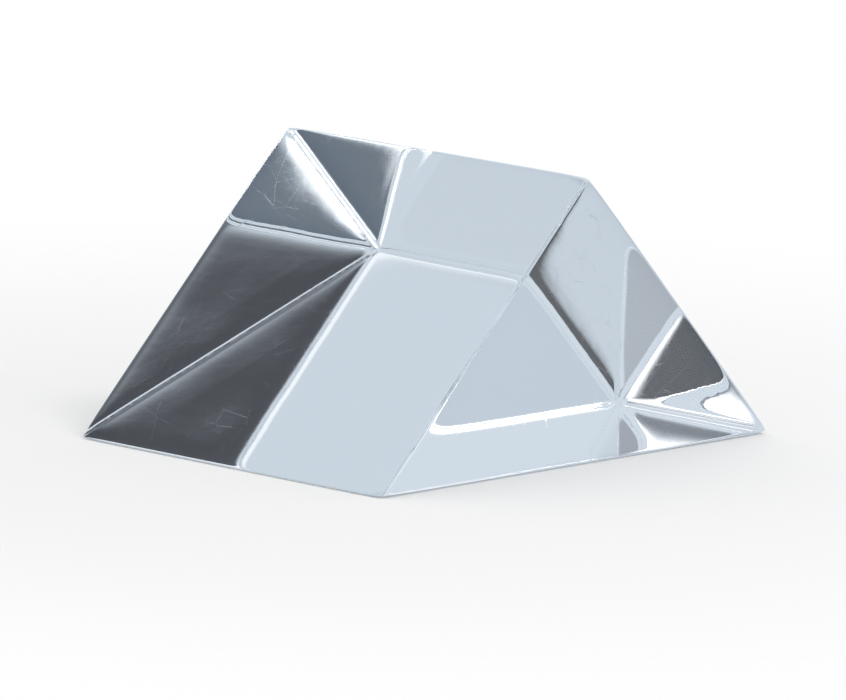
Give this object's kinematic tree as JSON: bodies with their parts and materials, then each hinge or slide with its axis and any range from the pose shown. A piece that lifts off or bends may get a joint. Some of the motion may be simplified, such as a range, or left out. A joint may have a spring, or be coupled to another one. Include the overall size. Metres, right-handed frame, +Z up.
{
  "type": "right angle prism",
  "caption": "Solid block of clear acrylic cut as a right angle prism, with two square faces, a larger rectangular face, triangular ends and finely bevelled edges.",
  "frame": {"origin": "middle of the large (hypotenuse) face, on the surface that the prism lies on", "axes": "+Z up, from the large face to the right-angled ridge; X along the ridge; Y across it, from one base edge to the other"},
  "size_m": [0.03, 0.0422, 0.0211],
  "materials": {
    "clear_acrylic": "polished"
  },
  "bodies": {
    "root": {"prism": "clear_acrylic"}
  },
  "joints": []
}
